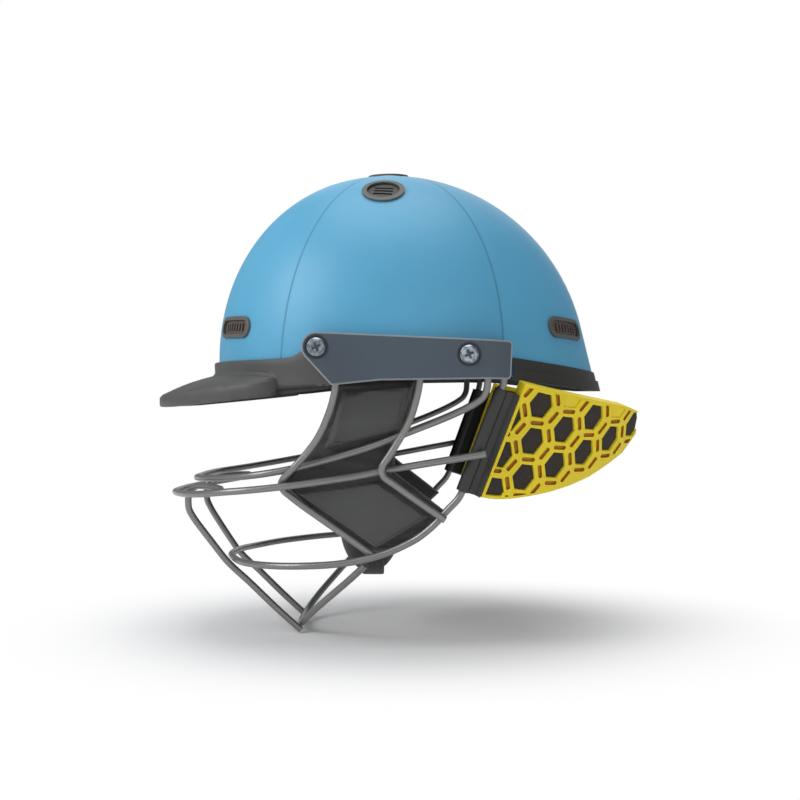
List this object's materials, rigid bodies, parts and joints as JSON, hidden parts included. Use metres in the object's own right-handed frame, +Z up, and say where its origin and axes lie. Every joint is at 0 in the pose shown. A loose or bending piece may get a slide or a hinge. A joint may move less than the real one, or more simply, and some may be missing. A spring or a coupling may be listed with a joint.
{
  "type": "cricket helmet",
  "caption": "Batting helmet with a hard domed shell, short peak, bent wire face grille, padded cheeks, hinged honeycomb neck guards and a chin strap.",
  "frame": {"origin": "middle of the head opening, on the middle plane, level with the wearer's brow", "axes": "+Z up out of the crown, -Y the way the wearer faces, +X the wearer's left"},
  "size_m": [0.2284, 0.3246, 0.314],
  "materials": {
    "shell": "satin light blue",
    "liner_foam": "matt dark foam",
    "comfort_cloth": "dark knitted cloth",
    "peak": "matt grey with fine grain",
    "rim_trim": "matt black",
    "side_plate": "satin slate grey",
    "bracket_steel": "plain steel",
    "black_plastic": "satin black",
    "screw_blue": "painted blue",
    "vent_frame": "matt warm grey",
    "vent_mesh": "matt dark mesh",
    "wire": "satin grey coated steel wire",
    "cheek_cloth": "dark grey cloth over foam",
    "guard_yellow": "matt yellow elastomer",
    "guard_foam": "black foam",
    "webbing": "black woven webbing",
    "cup_rubber": "matt black rubber"
  },
  "bodies": {
    "helmet": {"shell": "shell", "liner_front": "liner_foam", "liner_rear": "liner_foam", "liner_left": "liner_foam", "liner_right": "liner_foam", "liner_crown": "liner_foam", "brow_pad": "comfort_cloth", "nape_pad": "comfort_cloth", "temple_pad_left": "comfort_cloth", "temple_pad_right": "comfort_cloth", "crown_pad": "comfort_cloth", "peak": "peak", "rim_trim": "rim_trim", "side_plate_left": "side_plate", "side_plate_right": "side_plate", "grille_bracket_left": "bracket_steel", "grille_bracket_right": "bracket_steel", "plate_spacers": "black_plastic", "plate_screws": "screw_blue", "shell_nuts": "bracket_steel", "crown_vent_middle": "vent_frame", "crown_vent_left": "vent_frame", "crown_vent_right": "vent_frame", "front_vent_left": "vent_frame", "front_vent_right": "vent_frame", "rear_vent_left": "vent_frame", "rear_vent_right": "vent_frame", "crown_vent_meshes": "vent_mesh", "side_vent_meshes": "vent_mesh", "visor_bar_upper": "wire", "visor_bar_lower": "wire", "chin_loop": "wire", "chin_bar": "wire", "cheek_bar_front_left": "wire", "cheek_bar_front_right": "wire", "cheek_bar_rear_left": "wire", "cheek_bar_rear_right": "wire", "nose_bar_left": "wire", "nose_bar_right": "wire", "cheek_pad_left": "cheek_cloth", "cheek_pad_right": "cheek_cloth", "strap_anchor_left": "black_plastic", "strap_anchor_right": "black_plastic"},
    "neck_guard_left_body": {"neck_guard_left": "guard_yellow", "guard_foam_left": "guard_foam", "guard_clip_left": "black_plastic"},
    "neck_guard_right_body": {"neck_guard_right": "guard_yellow", "guard_foam_right": "guard_foam", "guard_clip_right": "black_plastic"},
    "chin_strap_body": {"chin_strap": "webbing", "chin_cup": "cup_rubber"},
    "slider_left_body": {"strap_slider_left": "black_plastic"},
    "slider_right_body": {"strap_slider_right": "black_plastic"}
  },
  "joints": [
    {"name": "neck_guard_left_swing", "type": "hinge", "parent": "helmet", "child": "neck_guard_left_body", "pos_m": [0.0868, 0.039, -0.0798], "axis": [0.158, 0.3418, 0.9264], "range_deg": [-10, 14]},
    {"name": "neck_guard_right_swing", "type": "hinge", "parent": "helmet", "child": "neck_guard_right_body", "pos_m": [-0.0868, 0.039, -0.0798], "axis": [0.158, -0.3418, -0.9264], "range_deg": [-10, 14]},
    {"name": "chin_strap_swing", "type": "hinge", "parent": "helmet", "child": "chin_strap_body", "pos_m": [0, -0.0165, 0.012], "axis": [1, 0, 0], "range_deg": [-25, 25]},
    {"name": "slider_left_slide", "type": "slide", "parent": "chin_strap_body", "child": "slider_left_body", "axis": [-0.3412, 0, -0.94], "range_m": [-0.012, 0.012]},
    {"name": "slider_right_slide", "type": "slide", "parent": "chin_strap_body", "child": "slider_right_body", "axis": [0.3412, 0, -0.94], "range_m": [-0.012, 0.012]}
  ]
}
